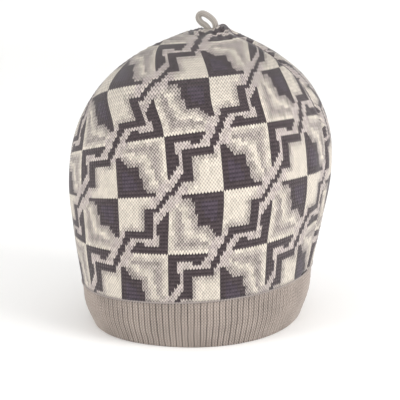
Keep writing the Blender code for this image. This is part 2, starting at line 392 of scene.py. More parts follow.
class Cloth:
    """One flat panel and the way in which it lies on its half of the dome."""

    def __init__(self, side, lie):
        self.side = side
        self.lie = through(lie, STEPS_PER_LIE)
        self.courses = self.lie[:, :2]
        self.top = self.lie[-1, 1]
        self.widths, self.turns = ring_tables(side)
        self.kept = self.widths / np.interp(TABLE_RUNS, self.lie[:, 0], self.lie[:, 2])

    def stitch_at(self, aside, below):
        """Wale and course of places on the dome, given by how far they lie aside of and below its peak."""
        from_peak = np.maximum(np.hypot(aside, below), 1e-7)
        share = np.arctan2(aside, below) / (pi / 2)
        run = PEAK_RUN - from_peak
        near_peak = from_peak * pi / 2 / self.lie[-1, 2]
        kept = np.where(run > TABLE_RUNS[-1], near_peak, np.interp(run, TABLE_RUNS, self.kept))
        round_peak = np.clip(1.25 - from_peak / PEAK_REACH, 0.0, 1.0)
        across = share * (1 - round_peak) + round_peak * np.sin(share * pi / 2) * 2 / pi
        drift, spread, tilt, sag = (np.interp(run, self.lie[:, 0], column) for column in self.lie.T[3:])
        wide = across * from_peak / np.hypot(from_peak, SPREAD_REACH)
        high = across * from_peak / np.hypot(from_peak, SAG_REACH)
        wale = across * kept + drift + spread * wide**2
        level = run + sag * high**2 - tilt * high
        last_run, last_course = self.courses[-1] - self.courses[-2]
        beyond = np.maximum(level - self.courses[-1, 0], 0.0) * last_course / last_run
        return wale, np.interp(level, self.courses[:, 0], self.courses[:, 1]) + beyond

    def place_of(self, wale, course):
        """The place on the dome of stitch corners, by Newton's method."""
        run = np.interp(course, self.courses[:, 1], self.courses[:, 0])
        kept = np.interp(run, TABLE_RUNS, self.kept)
        share = np.clip((wale - np.interp(run, self.lie[:, 0], self.lie[:, 3])) / kept, -0.9, 0.9)
        aside = (PEAK_RUN - run) * np.sin(share * pi / 2)
        below = (PEAK_RUN - run) * np.cos(share * pi / 2)
        for attempt in range(TRIES):
            w, c = self.stitch_at(aside, below)
            w_aside, c_aside = self.stitch_at(aside + SMALL_STEP, below)
            w_below, c_below = self.stitch_at(aside, below + SMALL_STEP)
            a, b = (w_aside - w) / SMALL_STEP, (w_below - w) / SMALL_STEP
            d, e = (c_aside - c) / SMALL_STEP, (c_below - c) / SMALL_STEP
            determinant = a * e - b * d
            flat = np.abs(determinant) < 1.0
            determinant = np.where(flat, np.where(determinant < 0, -1.0, 1.0), determinant)
            miss_w, miss_c = wale - w, course - c
            step_aside = (e * miss_w - b * miss_c) / determinant
            step_below = (a * miss_c - d * miss_w) / determinant
            length = np.hypot(step_aside, step_below)
            hold = np.minimum(1.0, LONGEST_STEP / np.maximum(length, 1e-9))
            aside = aside + step_aside * hold
            below = below + step_below * hold
        return aside, below, np.hypot(miss_w, miss_c)

    def seam_table(self, end):
        """Course and wale along one end of the cloth, from the border to the peak."""
        from_peak = np.linspace(PEAK_RUN - BORDER_RUN, 0.0, 1200)
        wale, course = self.stitch_at(end * from_peak, 0.0 * from_peak)
        return from_peak, wale, np.maximum.accumulate(course)


# %% [markdown]
# A panel's lie is a short table up its middle. The wales widen where the crown is fullest, and they spread
# and drift aside toward the peak, where the cloth was eased into the seam.

# %% How the two panels lie
# Run; course in the middle; width of a wale; drift aside and spread of the wales, in wales; tilt and sag of
# the courses, in metres.
FRONT_LIE = (
    (0.036, 0.0, 0.00214, -3.9, 0.7, 0.000, 0.000),
    (0.072, 13.0, 0.00214, -3.9, 0.8, 0.003, -0.006),
    (0.113, 27.9, 0.00228, -3.7, 4.2, 0.019, 0.015),
    (0.156, 43.3, 0.00231, 0.0, 6.8, 0.036, 0.037),
    (0.185, 53.0, 0.00248, 5.4, 15.0, 0.037, 0.033),
    (0.214, 59.6, 0.00232, 8.6, 14.0, 0.034, 0.033),
    (0.250, 69.6, 0.00222, 15.0, 6.0, 0.033, 0.033),
    (0.303, 82.5, 0.00220, 24.5, 2.0, 0.033, 0.033),
)
BACK_LIE = (
    (0.036, 0.0, 0.00214, 4.9, 0.0, 0.000, 0.000),
    (0.113, 27.9, 0.00222, 5.3, 0.0, -0.004, 0.012),
    (0.200, 56.5, 0.00236, 8.0, 0.0, -0.010, 0.030),
    (0.303, 86.0, 0.00232, 9.0, 0.0, -0.010, 0.030),
)
front_cloth = Cloth(-1, FRONT_LIE)
back_cloth = Cloth(1, BACK_LIE)
print("wales in half a panel %.0f, courses to the peak %.0f" % (front_cloth.kept[0], front_cloth.top))

# %% [markdown]
# ## The jacquard chart
# Knitters draw a pattern on squared paper, one square for each stitch, and the machine repeats it. Such a
# chart could be one long list of squares. Here a few rules make it, which are easier to read and to mend: a
# checker of blocks with stepped corners, and between the checkers a pair of hooked frets, joined by stepped
# slanting lines. Numbers in the rules count stitches. Round the motifs the two light yarns are mixed at
# random, which gives a heathered halo, and the cream beside the hooks has a narrow shaded edge.

# %% Chart
REPEAT_WALES = 34
REPEAT_COURSES = 30
COURSE_TO_WALE = 1.27
CREAM, DARK, VIOLET, LILAC, MIXED = 0, 1, 2, 3, 4
BLOCK_WIDTHS = np.array([13, 10, 9, 9, 9, 8, 8, 8, 4, 3, 2])
CREAM_WALES = 11
CREAM_COURSES = 10
SLANT_HALF_WIDTH = 1.05
SLANT_REACH = 4
STEEP_SLANT = 0.67
LOW_SLANT = 1.15
LILAC_REACH = 3.6
CREAM_STARTS = 2.2
VIOLET_STARTS = 2.6
HALO_WIDTH = 6.0
SHADED_REACH = 2.9
SHADE_FALL = 0.38


def wrapped(x, period):
    return (x + period // 2) % period - period // 2


def checker_block(x, y):
    """True in one dark block of the checker: a square with a stepped corner and a spur at each end."""
    course = np.clip(y, 0, len(BLOCK_WIDTHS) - 1)
    return (x >= 0) & (y == course) & (x < BLOCK_WIDTHS[course])


def inner_hook(x, y):
    """True in the hook next to the middle of a pair: a stem and a foot with a tooth on it."""
    upright = (x < 3 + ((y > 4) & (y < 8))) & (y < 11 - x)
    level = ((y == 0) & (x < 13)) | ((y == 1) & (x < 12)) | ((y == 2) & (x >= 8) & (x < 11))
    return (x >= 0) & (y >= 0) & (upright | level)


def outer_hook(x, y):
    """True in the hook that stands within the first one's corner."""
    upright = (x >= 5) & (x < 8) & (y >= 4) & (y < 12)
    level = (y >= 4) & (y < 6) & (x >= 5) & (x < 15)
    return upright | level


def slanting_line(x, y, slant):
    """True on a short line that crosses the middle and moves aside by the slant at each course."""
    return (np.abs(y) <= SLANT_REACH) & (np.abs(x - slant * y) < SLANT_HALF_WIDTH)


def distance_to(motif, x, y):
    """How far each stitch of the repeat lies from the nearest one of a motif, in widths of a stitch."""
    nearest = np.full(motif.shape, 99.0)
    for motif_y, motif_x in zip(*np.nonzero(motif)):
        across = np.abs(wrapped(x - x[motif_y, motif_x], REPEAT_WALES))
        up = np.abs(wrapped(y - y[motif_y, motif_x], REPEAT_COURSES))
        nearest = np.minimum(nearest, np.hypot(across, COURSE_TO_WALE * up))
    return nearest


def jacquard_repeat():
    """The yarn of each stitch of one repeat, and its contour: 1 in the grey bands round the motifs."""
    y, x = np.mgrid[0:REPEAT_COURSES, 0:REPEAT_WALES]
    x, y = wrapped(x, REPEAT_WALES), wrapped(y, REPEAT_COURSES)
    from_x = wrapped(x - REPEAT_WALES // 2, REPEAT_WALES)
    from_y = wrapped(y - REPEAT_COURSES // 2, REPEAT_COURSES)
    blocks = checker_block(from_x, from_y) | checker_block(-1 - from_x, -1 - from_y)
    slants = slanting_line(from_x, y, STEEP_SLANT) | slanting_line(x, from_y, LOW_SLANT)
    hooks = np.zeros(x.shape, bool)
    within_hooks = np.zeros(x.shape, bool)
    for across, up in ((-1 - x, y), (x, -1 - y)):
        hooks |= inner_hook(across, up) | outer_hook(across, up)
        within_hooks |= (across >= 0) & (up >= 0) & (across < 15) & (up < 12) & ((across < 6) | (up < 5))
    cream = np.zeros(x.shape, bool)
    for across, up in ((-1 - from_x, from_y), (from_x, -1 - from_y)):
        cream |= (across >= 0) & (across < CREAM_WALES) & (up >= 0) & (up < CREAM_COURSES)

    from_block = distance_to(blocks, x, y)
    from_hook = distance_to(hooks | slants, x, y)
    from_slant = distance_to(slants, x, y)
    band = np.where(from_block < from_hook, from_block - 1.0, from_hook - 1.0 + HALO_WIDTH / 2)
    shaded = cream & (from_hook < SHADED_REACH)
    edge_shade = np.clip(1.1 - SHADE_FALL * from_hook, 0.0, 1.0)
    contour = np.where(shaded, edge_shade, 0.5 + 0.5 * np.cos(tau * band / HALO_WIDTH))
    cream &= from_slant > CREAM_STARTS
    yarn = np.full(x.shape, MIXED)
    yarn[within_hooks | (from_slant < LILAC_REACH)] = LILAC
    yarn[cream & ~shaded] = CREAM
    yarn[cream & shaded] = MIXED
    yarn[blocks | hooks | slants] = DARK
    yarn[blocks & (distance_to(yarn != DARK, x, y) > VIOLET_STARTS)] = VIOLET
    return yarn, contour


YARNS, CONTOUR = jacquard_repeat()
counts = [int((YARNS == yarn).sum()) for yarn in (CREAM, DARK, VIOLET, LILAC, MIXED)]
print("stitches of one repeat in cream, dark, violet, lilac and mixed:", counts)

# %% [markdown]
# In a jacquard each stitch shows one yarn and hides the rest behind it, so the colour belongs to the stitch
# and not to the material. The yarn colours are linear values. In the mixed ground a stitch lies between
# cream and grey. Its share of grey rises and falls with the distance from the motif, which draws the soft
# contour bands round it, and a seeded chance makes the heather. The fourth number of a colour says how dark
# the gaps beside a stitch go: dark yarn that peeps through, and toward the peak also painted shade, which
# makes the top of the crown darker.

# %% Yarn of every stitch
CREAM_YARN = (0.70, 0.635, 0.55)
LILAC_YARN = (0.545, 0.470, 0.452)
DARK_YARN = (0.066, 0.049, 0.054)
VIOLET_YARN = (0.076, 0.057, 0.075)
PEAK_SHADE_COURSE = 48
COURSES_TO_PEAK_SHADE = 16
PEAK_PAINTED_SHADE = 0.40


def stitch_colours(wales, courses, first_course, seed):
    """A colour for each stitch of a panel, from the chart and a seeded chance."""
    chance = np.random.default_rng(seed)
    x = np.mod(wales, REPEAT_WALES)
    y = np.mod(courses - first_course, REPEAT_COURSES)
    yarn = YARNS[y, x]
    draw = chance.random(yarn.shape)
    contour = CONTOUR[y, x]
    # The lists of grey and of peeping yarn have one rule for each of these kinds of stitch.
    kinds = [yarn == CREAM, yarn == LILAC, yarn == MIXED]
    grey = [0.12 * draw**3, 0.75 + 0.45 * (draw - 0.4), 0.75 * contour + 0.25 * (draw - 0.5)]
    grey = np.clip(np.select(kinds, grey, 0.0), 0.0, 1.0)[..., None]
    spot = chance.random(yarn.shape) ** 2
    peeping_and_shade = [0.08 + 0.20 * spot, 0.35 + 0.45 * spot, 0.05 + 0.75 * contour + 0.45 * spot]
    # Painted shade toward the peak: the gaps there go darker, which darkens the top of the crown.
    peak_painted_shade = PEAK_PAINTED_SHADE * np.clip((courses - PEAK_SHADE_COURSE) / COURSES_TO_PEAK_SHADE, 0.0, 1.0)
    peeping_and_shade = np.clip(np.select(kinds, peeping_and_shade, 0.0) + peak_painted_shade, 0.0, 1.0)
    colours = np.array(CREAM_YARN) * (1 - grey) + np.array(LILAC_YARN) * grey
    colours = np.where((yarn == DARK)[..., None], np.array(DARK_YARN), colours)
    colours = np.where((yarn == VIOLET)[..., None], np.array(VIOLET_YARN), colours)
    uneven = np.where(yarn == CREAM, 0.06, 0.11)
    shade = 1.0 + uneven * np.clip(chance.standard_normal(yarn.shape), -2.0, 1.6)
    shade -= np.where(yarn == MIXED, 0.22 * contour, 0.0)
    colours = np.clip(colours * shade[..., None], 0.0, 1.0)
    return np.concatenate([colours, peeping_and_shade[..., None]], axis=-1)


# %% [markdown]
# ## The panels
# Each stitch gets two quads, the two legs of its V. A smooth sheet with a picture of stitches would have
# straight edges between the colours. Here the valley between two wales is low and half a course higher than
# the middle of the wale, so the legs slant and the colour changes with a toothed edge, as in real knitting.
# Beyond the seam all corners of a course fall on the seam itself, and the faces that vanish there are left
# out later.

# %% Net of stitch corners
VALLEY = 0.00022
CREST = 0.00010
LEG_RISE = 0.5
# In stitches: how near to the seam a corner falls on it, and over how many courses below it legs level out.
SEAM_ROOM = 0.02
LEVELLED_COURSES = 2.0
# In metres from the peak: the upper part of the seam, which lies above the courses below it.
UPPER_SEAM = 0.100


def stitch_net(name, cloth):
    """Corners of a panel's half stitches: their places outside and inside, and their wale and course."""
    rows = np.append(np.arange(0, int(cloth.top - 0.3)), cloth.top)
    seam = {end: cloth.seam_table(end) for end in (-1, 1)}
    first = int(np.floor(seam[-1][1].min())) - 1
    last = int(np.ceil(seam[1][1].max())) + 1
    columns = np.arange(2 * first, 2 * last + 1) / 2
    wale, course = np.meshgrid(columns, rows)
    valley = np.mod(wale, 1.0) == 0

    end_from_peak, end_wale = {}, {}
    for end, (from_peak, seam_wale, seam_course) in seam.items():
        end_from_peak[end] = np.interp(rows, seam_course, from_peak)
        end_wale[end] = np.interp(rows, seam_course, seam_wale)
    room = np.minimum(wale - end_wale[-1][:, None], end_wale[1][:, None] - wale)
    inside = room > SEAM_ROOM
    headroom = np.full(wale.shape, 1e3)
    for end, (from_peak, seam_wale, seam_course) in seam.items():
        upper = from_peak < UPPER_SEAM
        order = np.argsort(seam_wale[upper])
        ceiling = np.interp(wale, seam_wale[upper][order], seam_course[upper][order])
        this_side = (wale - end_wale[-1][-1]) * end >= 0
        headroom = np.where(this_side, ceiling - course, headroom)
    free = np.clip(room, 0.0, 1.0) * np.clip((headroom - 0.5) / LEVELLED_COURSES, 0.0, 1.0)
    raised = course + LEG_RISE * valley * free * (course > 0)

    aside, below, miss = cloth.place_of(np.where(inside, wale, 0.0), np.where(inside, raised, 10.0))
    from_peak = np.hypot(aside, below)
    share = np.arctan2(aside, below) / (pi / 2)
    for end in (-1, 1):
        beyond = ~inside & ((wale - end_wale[end][:, None]) * end > -0.03)
        from_peak = np.where(beyond, end_from_peak[end][:, None], from_peak)
        share = np.where(beyond, end, share)
    run = np.clip(PEAK_RUN - from_peak, BORDER_RUN + PIECE_GAP, PEAK_RUN)
    share = np.clip(share, -1.0, 1.0)
    hand = -cloth.side
    turn = cloth.side * np.radians(90.0 - look_up(cloth.turns, run, share * hand))
    fade = np.clip(room, 0.0, 1.0)
    lift = np.where(valley, -VALLEY, CREST) * fade
    outer = cloth_places(run, turn, cloth.side, lift)
    inner = cloth_places(run, turn, cloth.side, np.full(run.shape, -CROWN_WALL))
    print(name, "stitch corners", run.size, "largest miss %.4f stitches" % miss[inside].max())
    return outer.reshape(-1, 3), inner.reshape(-1, 3), wale, raised


# %% [markdown]
# A panel is cloth with a thickness. The net's corners are joined where they fall together, each half stitch
# becomes a face of the outer sheet, and the same faces turned round make the inner sheet, in a mixed
# colour. Solidify could do this too, but here the strips that close the rims get their own place in the map
# for baking.


# %% Faces of the cloth
def four_corners(grid):
    """The corners of each cell of a grid, one row for a cell."""
    return np.stack([grid[:-1, :-1], grid[:-1, 1:], grid[1:, 1:], grid[1:, :-1]], axis=-1).reshape(-1, 4)


def outer_faces(merged, shape):
    """Faces of the outer sheet: their corners, the places of these in the net, and the stitch they show."""
    number = np.arange(shape[0] * shape[1]).reshape(shape)
    stitches = [(row, column // 2) for row in range(shape[0] - 1) for column in range(shape[1] - 1)]
    faces = []
    for quad, source, stitch in zip(four_corners(merged[number]), four_corners(number), stitches):
        kept = [k for k in range(4) if quad[k] != quad[(k + 1) % 4]]
        if len(kept) < 3 or len({quad[k] for k in kept}) < len(kept):
            continue
        faces.append(([int(quad[k]) for k in kept], [int(source[k]) for k in kept], stitch))
    return faces


def rim_edges(faces):
    """Edges that only one face of the sheet has."""
    edges = {}
    for corners, sources, stitch in faces:
        for a, b in zip(corners, corners[1:] + corners[:1]):
            edges[(a, b)] = True
    return [(a, b) for a, b in edges if (b, a) not in edges]


# %% [markdown]
# A panel's mesh carries what its material needs: a colour for each stitch, a map of the stitches, and a map
# for baking, in which the outer sheet, the inner sheet and the strips lie apart.

# %% Panels
FIRST_FRET_COURSE = 13
SAME_PLACE = 1e-7
INNER_MIX = np.array((*LILAC_YARN, 0.4))
RIM_COLOUR = (*LILAC_YARN, 0.5)
# The part of the map's height that each face of the cloth and its rims take up when the colours are baked.
OUTER_MAP = (0.24, 0.99)
INNER_MAP = (0.00, 0.20)
RIM_MAP = (0.21, 0.23)


def make_panel(name, cloth, seed):
    """One panel as a closed mesh, with a colour for each stitch, a map of the stitches and one for baking."""
    outer, inner, wale, course = stitch_net(name, cloth)
    key = np.round(outer / SAME_PLACE).astype(np.int64)
    position, merged = np.unique(key, axis=0, return_index=True, return_inverse=True)[1:]
    faces = outer_faces(merged.reshape(-1), wale.shape)
    rims = rim_edges(faces)
    wales = np.arange(int(wale.min()), int(wale.max()) + 1)
    colours = stitch_colours(*np.meshgrid(wales, np.arange(len(wale))), FIRST_FRET_COURSE, seed)

    across = (wale - wale.min()) / (wale.max() - wale.min())
    knit_places = np.stack([wale, course], axis=-1).reshape(-1, 2)
    map_places = np.stack([across, course / cloth.top], axis=-1).reshape(-1, 2)

    all_faces, stitch_uv, bake_uv, corner_colours = [], [], [], []

    def add_sheet(map_low, map_high, offset, way, mix):
        on_map = map_places * (1.0, map_high - map_low) + (0.0, map_low)
        for corners, sources, stitch in faces:
            all_faces.append([offset + corner for corner in corners[::way]])
            stitch_uv.extend(knit_places[sources[::way]])
            bake_uv.extend(on_map[sources[::way]])
            corner_colours.extend([(1.0 - mix) * colours[stitch] + mix * INNER_MIX] * len(corners))

    count = len(position)
    add_sheet(*OUTER_MAP, offset=0, way=1, mix=0.0)
    add_sheet(*INNER_MAP, offset=count, way=-1, mix=0.5)
    low, high = RIM_MAP
    for number, (a, b) in enumerate(rims):
        all_faces.append([b, a, count + a, count + b])
        left, right = number / len(rims), (number + 0.98) / len(rims)
        bake_uv.extend([(left, high), (right, high), (right, low), (left, low)])
        stitch_uv.extend([(0.0, 0.5)] * 4)
        corner_colours.extend([RIM_COLOUR] * 4)

    mesh = bpy.data.meshes.new(name)
    mesh.from_pydata(np.vstack([outer[position], inner[position]]).tolist(), [], all_faces)
    mesh.update()
    for layer, values in (("OFBake", bake_uv), ("Stitches", stitch_uv)):
        uv = mesh.uv_layers.new(name=layer)
        uv.data.foreach_set("uv", np.array(values, np.float32).ravel())
    yarn = mesh.color_attributes.new("Yarn", "FLOAT_COLOR", "CORNER")
    yarn.data.foreach_set("color", np.array(corner_colours, np.float32).ravel())
    mesh.shade_smooth()
    triangles = sum(len(face) - 2 for face in all_faces)
    print(name, "triangles", triangles, "strips that close its rims", len(rims))
    return add_object(name, mesh)


front_knit = make_panel("front_knit", front_cloth, 11)
back_knit = make_panel("back_knit", back_cloth, 12)

# %% [markdown]
# ## The knit material
# The colour comes from the mesh, one yarn for each stitch. The material adds what is finer than a stitch:
# the twisted fibres of each leg, painted shade in the small gaps between stitches, and a soft sheen on
# grazing wool. The panels, the band and the loop all need this relief, so it is one node group that reads a
# place in the knit, with whole numbers between the stitches.


# %% Relief of a stitch
def add_socket(tree, name, direction, kind, value=None):
    socket = tree.interface.new_socket(name=name, in_out=direction, socket_type=kind)
    if value is not None:
        socket.default_value = value


def math_node(tree, operation, a, b=None, c=None):
    node = tree.nodes.new("ShaderNodeMath")
    node.operation = operation
    for index, value in enumerate((a, b, c)):
        if value is None:
            continue
        if isinstance(value, (int, float)):
            node.inputs[index].default_value = value
        else:
            tree.links.new(value, node.inputs[index])
    return node.outputs[0]


def scaled(tree, operation, value, factor):
    """The sine, the cosine or another function of a value times a factor."""
    return math_node(tree, operation, math_node(tree, "MULTIPLY", value, factor))


def from_wale_middle(tree, wale):
    """How far a place is from the middle of its wale: 0 there and a half in the valley."""
    return math_node(tree, "ABSOLUTE", math_node(tree, "SUBTRACT", math_node(tree, "FRACT", wale), 0.5))


def noise_node(tree, vector, scale, detail, roughness=0.5):
    node = tree.nodes.new("ShaderNodeTexNoise")
    node.inputs["Scale"].default_value = scale
    node.inputs["Detail"].default_value = detail
    node.inputs["Roughness"].default_value = roughness
    if vector is not None:
        tree.links.new(vector, node.inputs["Vector"])
    return node.outputs[0]


def stitch_group():
    """A node group: from stitch coordinates to the height of a leg and the gaps between stitches, which get
    painted shade.
    """
    tree = bpy.data.node_groups.new("stitch_relief", "ShaderNodeTree")
    add_socket(tree, "Stitch", "INPUT", "NodeSocketVector")
    add_socket(tree, "Fuzz", "INPUT", "NodeSocketFloat", 0.5)
    add_socket(tree, "Height", "OUTPUT", "NodeSocketFloat")
    add_socket(tree, "Gap", "OUTPUT", "NodeSocketFloat")
    add_socket(tree, "Row", "OUTPUT", "NodeSocketFloat")
    add_socket(tree, "Fibre", "OUTPUT", "NodeSocketFloat")
    enter = tree.nodes.new("NodeGroupInput")
    leave = tree.nodes.new("NodeGroupOutput")
    split = tree.nodes.new("ShaderNodeSeparateXYZ")
    tree.links.new(enter.outputs["Stitch"], split.inputs[0])
    wale, course = split.outputs["X"], split.outputs["Y"]
    from_middle = from_wale_middle(tree, wale)
    leg = scaled(tree, "SINE", from_middle, tau)
    in_strand = math_node(tree, "FRACT", math_node(tree, "SUBTRACT", course, from_middle))
    rounded_leg = math_node(tree, "POWER", leg, 0.6)
    rounded_strand = math_node(tree, "POWER", scaled(tree, "SINE", in_strand, pi), 0.5)
    height = math_node(tree, "MULTIPLY", rounded_leg, rounded_strand)
    noise = noise_node(tree, enter.outputs["Stitch"], scale=2.6, detail=3.0, roughness=0.6)
    fibre = math_node(tree, "SUBTRACT", noise, 0.5)
    fuzzy = math_node(tree, "ADD", height, math_node(tree, "MULTIPLY", fibre, enter.outputs["Fuzz"]))
    across = scaled(tree, "COSINE", wale, tau)
    along = scaled(tree, "COSINE", course, tau)
    hollow = math_node(tree, "MULTIPLY_ADD", math_node(tree, "MULTIPLY", across, along), -0.5, 0.5)
    low = math_node(tree, "MULTIPLY_ADD", height, -0.25, 1.0)
    gap = math_node(tree, "MULTIPLY", hollow, low)
    tree.links.new(fuzzy, leave.inputs["Height"])
    tree.links.new(gap, leave.inputs["Gap"])
    tree.links.new(math_node(tree, "MULTIPLY_ADD", along, 0.5, 0.5), leave.inputs["Row"])
    tree.links.new(fibre, leave.inputs["Fibre"])
    return tree


STITCH_RELIEF = stitch_group()

# %% [markdown]
# Every yarn of the cap has the same dull look, so the steps that all its materials share are helpers too.
# In the jacquard the painted shade in the gaps goes as dark as the mesh says, and the dark yarn gets painted
# shade between its courses instead.


# %% Knit material
def new_material(name):
    material = bpy.data.materials.new(name)
    material.use_nodes = True
    return material, material.node_tree


def stitch_relief(tree, fuzz):
    """The outputs of the relief group, which reads the piece's own map of its stitches."""
    stitches = tree.nodes.new("ShaderNodeUVMap")
    stitches.uv_map = "Stitches"
    relief = tree.nodes.new("ShaderNodeGroup")
    relief.node_tree = STITCH_RELIEF
    relief.inputs["Fuzz"].default_value = fuzz
    tree.links.new(stitches.outputs[0], relief.inputs["Stitch"])
    return relief.outputs


def shaded_yarn(tree, colour, shade):
    """A colour darkened by a shade, which is 1 where it stays as it is."""
    node = tree.nodes.new("ShaderNodeMix")
    node.data_type = "RGBA"
    node.blend_type = "MULTIPLY"
    node.inputs["Factor"].default_value = 1.0
    if isinstance(colour, tuple):
        node.inputs["A"].default_value = (*colour, 1.0)
    else:
        tree.links.new(colour, node.inputs["A"])
    tree.links.new(shade, node.inputs["B"])
    return node.outputs["Result"]


def finish_wool(tree, colour, height, bump_distance, bump_strength=0.8, roughness=0.92, sheen=0.25):
    """Joins colour and relief to the shader, and gives it the dull look and soft sheen of wool."""
    bump = tree.nodes.new("ShaderNodeBump")
    bump.inputs["Distance"].default_value = bump_distance
    bump.inputs["Strength"].default_value = bump_strength
    tree.links.new(height, bump.inputs["Height"])
    shader = tree.nodes["Principled BSDF"]
    tree.links.new(colour, shader.inputs["Base Color"])
    tree.links.new(bump.outputs[0], shader.inputs["Normal"])
    shader.inputs["Roughness"].default_value = roughness
    shader.inputs["Specular IOR Level"].default_value = 0.15
    shader.inputs["Sheen Weight"].default_value = sheen
    shader.inputs["Sheen Roughness"].default_value = 0.5


DARK_BELOW = 0.2
DARK_GAP_EASE = 0.28
DARK_COURSE_SHADE = 0.38
JACQUARD_FIBRE_SHADE = 0.35


def knit_material(name, gap_shade, bump_distance):
    """The jacquard: its colour, and how dark its gaps go, come from the mesh: dark yarn peeping through and
    painted shade.
    """
    material, tree = new_material(name)
    yarn = tree.nodes.new("ShaderNodeAttribute")
    yarn.attribute_name = "Yarn"
    relief = stitch_relief(tree, fuzz=0.5)
    # Painted shade in the gaps between stitches: a share of it everywhere, more where dark yarn peeps
    # through.
    peeping_and_shade = math_node(tree, "MULTIPLY_ADD", yarn.outputs["Alpha"], 1.0 - gap_shade, gap_shade)
    split = tree.nodes.new("ShaderNodeSeparateColor")
    tree.links.new(yarn.outputs["Color"], split.inputs[0])
    is_dark = math_node(tree, "LESS_THAN", split.outputs["Green"], DARK_BELOW)
    peeping_and_shade = math_node(tree, "SUBTRACT", peeping_and_shade, math_node(tree, "MULTIPLY", is_dark, DARK_GAP_EASE))
    shade = math_node(tree, "SUBTRACT", 1.0, math_node(tree, "MULTIPLY", relief["Gap"], peeping_and_shade))
    # Painted shade between the courses of the dark yarn.
    dark_course = math_node(tree, "MULTIPLY", relief["Row"], is_dark)
    shade = math_node(tree, "SUBTRACT", shade, math_node(tree, "MULTIPLY", dark_course, DARK_COURSE_SHADE))
    shade = math_node(tree, "MULTIPLY_ADD", relief["Fibre"], JACQUARD_FIBRE_SHADE, shade)
    finish_wool(tree, shaded_yarn(tree, yarn.outputs["Color"], shade), relief["Height"], bump_distance)
    return material


jacquard = knit_material("jacquard_knit", gap_shade=0.48, bump_distance=0.0003)
print(jacquard.name, "nodes", len(jacquard.node_tree.nodes), "and in its relief", len(STITCH_RELIEF.nodes))
for piece, node in ((front_knit, "front_panel"), (back_knit, "back_panel")):
    piece.data.materials.append(jacquard)
    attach(piece, "root")
    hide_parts(node)


# %% [markdown]
# ## Geometry Nodes helpers
# What repeats is made with Geometry Nodes: ribs, seam stitches, linking stitches and the knit of the loop.
# Each tree is built here in the script, with named inputs for its sizes, which are given where the tree is
# used. The result is turned into a plain mesh, and the modifier goes with the object that it was on.


# %% Geometry Nodes helpers
def node_tree(name, *sizes):
    """An empty tree with a geometry input, an input for each named size, and a geometry output."""
    tree = bpy.data.node_groups.new(name, "GeometryNodeTree")
    add_socket(tree, "Geometry", "INPUT", "NodeSocketGeometry")
    add_socket(tree, "Geometry", "OUTPUT", "NodeSocketGeometry")
    for size in sizes:
        add_socket(tree, size, "INPUT", "NodeSocketFloat")
    return tree, tree.nodes.new("NodeGroupInput").outputs, tree.nodes.new("NodeGroupOutput")


def read_attribute(tree, name, kind):
    node = tree.nodes.new("GeometryNodeInputNamedAttribute")
    node.data_type = kind
    node.inputs["Name"].default_value = name
    return node.outputs["Attribute"]


def store_attribute(tree, geometry, name, value, kind="FLOAT", domain="POINT"):
    node = tree.nodes.new("GeometryNodeStoreNamedAttribute")
    node.data_type = kind
    node.domain = domain
    node.inputs["Name"].default_value = name
    tree.links.new(geometry, node.inputs["Geometry"])
    tree.links.new(value, node.inputs["Value"])
    return node.outputs[0]


def push(tree, geometry, way, distance):
    """Moves each point of the geometry along its way by its distance."""
    offset = tree.nodes.new("ShaderNodeVectorMath")
    offset.operation = "SCALE"
    tree.links.new(way, offset.inputs[0])
    tree.links.new(distance, offset.inputs["Scale"])
    place = tree.nodes.new("GeometryNodeSetPosition")
    tree.links.new(geometry, place.inputs["Geometry"])
    tree.links.new(offset.outputs[0], place.inputs["Offset"])
    return place.outputs[0]


def end_tree(tree, geometry, leave, material):
    """Every tree ends in the same two nodes: instances made real, and the material."""
    real = tree.nodes.new("GeometryNodeRealizeInstances")
    paint = tree.nodes.new("GeometryNodeSetMaterial")
    paint.inputs["Material"].default_value = material
    tree.links.new(geometry, real.inputs[0])
    tree.links.new(real.outputs[0], paint.inputs["Geometry"])
    tree.links.new(paint.outputs[0], leave.inputs[0])


def grow(name, base, tree, values):
    """Runs a node tree on the base object and keeps the result as a plain mesh at the origin."""
    modifier = base.modifiers.new(tree.name, "NODES")
    modifier.node_group = tree
    for item in tree.interface.items_tree:
        if item.in_out == "INPUT" and item.name in values:
            modifier[item.identifier] = values[item.name]
    bpy.context.view_layer.update()
    depsgraph = bpy.context.evaluated_depsgraph_get()
    grown = base.evaluated_get(depsgraph)
    mesh = bpy.data.meshes.new_from_object(grown, preserve_all_data_layers=True, depsgraph=depsgraph)
    mesh.name = name
    bpy.data.objects.remove(base, do_unlink=True)
    print(name, "faces", len(mesh.polygons))
    return add_object(name, mesh)


def stands_for(piece, slot, *nodes):
    """Gives a piece its body and hides the solids whose places it takes; the slot is not used."""
    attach(piece, "root")
    if nodes:
        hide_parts(*nodes)


# %% [markdown]
# ## The ribbed band
# Band and loop are knitted in one yarn each, whose colour drifts a little from place to place, as in any
# dyed wool. Deep in a groove fibres shade each other, more than the mesh alone can show, so the grooves are
# darkened a little too.

# %% Yarn of band and loop
RIB_YARN = (0.420, 0.354, 0.312)
DRIFT_SCALE = 45.0
PLAIN_FIBRE_SHADE = 0.45
GROOVE_SHADE = 0.58


